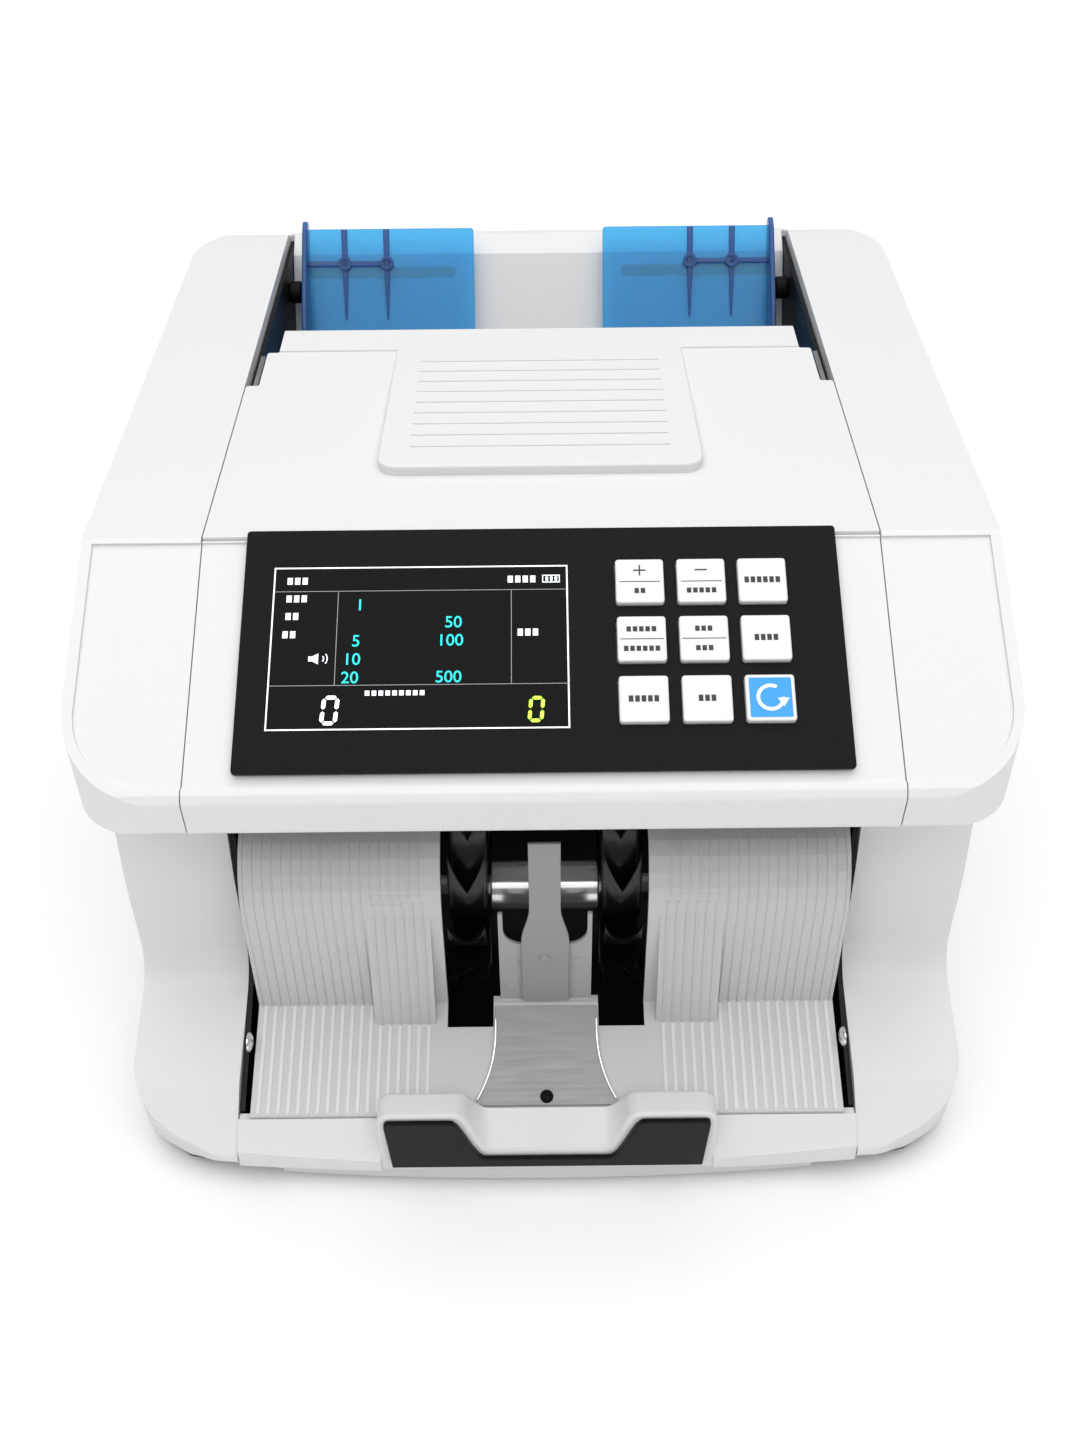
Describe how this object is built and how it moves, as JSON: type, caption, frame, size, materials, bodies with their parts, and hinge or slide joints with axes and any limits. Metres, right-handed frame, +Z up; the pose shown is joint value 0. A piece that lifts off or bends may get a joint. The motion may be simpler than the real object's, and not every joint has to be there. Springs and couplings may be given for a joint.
{
  "type": "banknote counter",
  "caption": "Tabletop banknote counter with a rear hopper, sliding blue note guides, sloping display and keypad, and an open front stacking pocket.",
  "frame": {"origin": "middle of the footprint, on the surface the feet stand on", "axes": "+X to the machine's right as its user faces it, +Y to the back, +Z up"},
  "size_m": [0.2872, 0.324, 0.2291],
  "materials": {
    "white_abs": "fine texture",
    "grey_abs": "satin",
    "gloss_black": "gloss",
    "black_steel": "satin",
    "black_rubber": "semi-gloss",
    "rubber": "matte",
    "clear_blue": "gloss",
    "stainless": "brushed",
    "chrome": "polished",
    "circuit": "satin"
  },
  "bodies": {
    "base": {"side_cover_left": "white_abs", "side_cover_right": "white_abs", "rear_cover": "white_abs", "front_lip": "white_abs", "pocket_liner": "white_abs", "front_skirt": "grey_abs", "sensor_bracket": "grey_abs", "note_guide": "grey_abs", "hopper_floor": "grey_abs", "lip_insert": "gloss_black", "power_inlet": "gloss_black", "bottom_plate": "black_steel", "side_frame_left": "black_steel", "side_frame_right": "black_steel", "plate_screw": "black_steel", "foot_front_left": "rubber", "foot_front_right": "rubber", "foot_rear_left": "rubber", "foot_rear_right": "rubber", "motor_belt": "rubber", "stacker_belt": "rubber", "feed_belt": "rubber", "tray_plate": "stainless", "frame_screw_left": "stainless", "frame_screw_right": "stainless", "motor": "stainless", "power_supply": "stainless", "hinge_rod": "stainless", "main_board": "circuit"},
    "cover": {"top_cover": "white_abs", "front_panel": "white_abs", "panel_bezel": "gloss_black", "display_screen": "gloss_black"},
    "pinch": {"pinch_shaft": "grey_abs"},
    "stacker": {"stacker_shaft": "chrome", "stacker_wheel_left": "black_rubber", "stacker_wheel_right": "black_rubber", "stacker_pulley": "stainless"},
    "drum": {"transport_drum": "grey_abs", "drum_pulley": "stainless"},
    "feed": {"feed_shaft": "chrome", "feed_roller_left": "rubber", "feed_roller_right": "rubber", "feed_pulley": "stainless"},
    "motor_rotor": {"motor_pulley": "stainless"},
    "guide_left": {"hopper_guide_left": "clear_blue", "guide_rack_left": "grey_abs"},
    "guide_right": {"hopper_guide_right": "clear_blue", "guide_rack_right": "grey_abs"},
    "pinion": {"guide_pinion": "grey_abs"},
    "switch": {"power_switch": "gloss_black"},
    "key_plus": {"key_plus": "white_abs"},
    "key_minus": {"key_minus": "white_abs"},
    "key_batch": {"key_batch": "white_abs"},
    "key_auto": {"key_auto": "white_abs"},
    "key_detect": {"key_detect": "white_abs"},
    "key_add": {"key_add": "white_abs"},
    "key_function": {"key_function": "white_abs"},
    "key_uv": {"key_uv": "white_abs"},
    "key_restart": {"key_restart": "white_abs"}
  },
  "joints": [
    {"name": "cover_hinge", "type": "hinge", "parent": "base", "child": "cover", "pos_m": [0, -0.118, 0.154], "axis": [1, 0, 0], "range_deg": [0, 50]},
    {"name": "drum_spin", "type": "hinge", "parent": "base", "child": "drum", "pos_m": [0, -0.006, 0.118], "axis": [1, 0, 0], "continuous": true},
    {"name": "stacker_spin", "type": "hinge", "parent": "base", "child": "stacker", "pos_m": [0, -0.079, 0.066], "axis": [1, 0, 0], "continuous": true},
    {"name": "feed_spin", "type": "hinge", "parent": "base", "child": "feed", "pos_m": [0, 0.084, 0.128], "axis": [1, 0, 0], "continuous": true},
    {"name": "motor_spin", "type": "hinge", "parent": "base", "child": "motor_rotor", "pos_m": [0, 0.05, 0.048], "axis": [1, 0, 0], "continuous": true},
    {"name": "pinch_spin", "type": "hinge", "parent": "cover", "child": "pinch", "pos_m": [0, -0.006, 0.1536], "axis": [1, 0, 0], "continuous": true},
    {"name": "guide_left_slide", "type": "slide", "parent": "base", "child": "guide_left", "axis": [1, 0, 0], "range_m": [0, 0.024]},
    {"name": "guide_right_slide", "type": "slide", "parent": "base", "child": "guide_right", "axis": [-1, 0, 0], "range_m": [0, 0.024]},
    {"name": "pinion_spin", "type": "hinge", "parent": "base", "child": "pinion", "pos_m": [0, 0.14973, 0.19453], "axis": [0, -0.866, 0.5], "range_deg": [-185, 1]},
    {"name": "switch_rock", "type": "hinge", "parent": "base", "child": "switch", "pos_m": [-0.037, 0.1525, 0.026], "axis": [1, 0, 0], "range_deg": [0, 10]},
    {"name": "key_plus_press", "type": "slide", "parent": "cover", "child": "key_plus", "axis": [0, 0.5074, -0.8617], "range_m": [0, 0.001], "stiffness_N_per_m": 700, "springref_m": -0.0002},
    {"name": "key_minus_press", "type": "slide", "parent": "cover", "child": "key_minus", "axis": [0, 0.5074, -0.8617], "range_m": [0, 0.001], "stiffness_N_per_m": 700, "springref_m": -0.0002},
    {"name": "key_batch_press", "type": "slide", "parent": "cover", "child": "key_batch", "axis": [0, 0.5074, -0.8617], "range_m": [0, 0.001], "stiffness_N_per_m": 700, "springref_m": -0.0002},
    {"name": "key_auto_press", "type": "slide", "parent": "cover", "child": "key_auto", "axis": [0, 0.5074, -0.8617], "range_m": [0, 0.001], "stiffness_N_per_m": 700, "springref_m": -0.0002},
    {"name": "key_detect_press", "type": "slide", "parent": "cover", "child": "key_detect", "axis": [0, 0.5074, -0.8617], "range_m": [0, 0.001], "stiffness_N_per_m": 700, "springref_m": -0.0002},
    {"name": "key_add_press", "type": "slide", "parent": "cover", "child": "key_add", "axis": [0, 0.5074, -0.8617], "range_m": [0, 0.001], "stiffness_N_per_m": 700, "springref_m": -0.0002},
    {"name": "key_function_press", "type": "slide", "parent": "cover", "child": "key_function", "axis": [0, 0.5074, -0.8617], "range_m": [0, 0.001], "stiffness_N_per_m": 700, "springref_m": -0.0002},
    {"name": "key_uv_press", "type": "slide", "parent": "cover", "child": "key_uv", "axis": [0, 0.5074, -0.8617], "range_m": [0, 0.001], "stiffness_N_per_m": 700, "springref_m": -0.0002},
    {"name": "key_restart_press", "type": "slide", "parent": "cover", "child": "key_restart", "axis": [0, 0.5074, -0.8617], "range_m": [0, 0.001], "stiffness_N_per_m": 700, "springref_m": -0.0002}
  ],
  "couplings": [
    {"joint": "stacker_spin", "follows": "drum_spin", "ratio": 1},
    {"joint": "feed_spin", "follows": "drum_spin", "ratio": 1},
    {"joint": "motor_spin", "follows": "drum_spin", "ratio": 1.5},
    {"joint": "guide_right_slide", "follows": "guide_left_slide", "ratio": 1},
    {"joint": "pinion_spin", "follows": "guide_left_slide", "rad_per_m": -133.33}
  ]
}
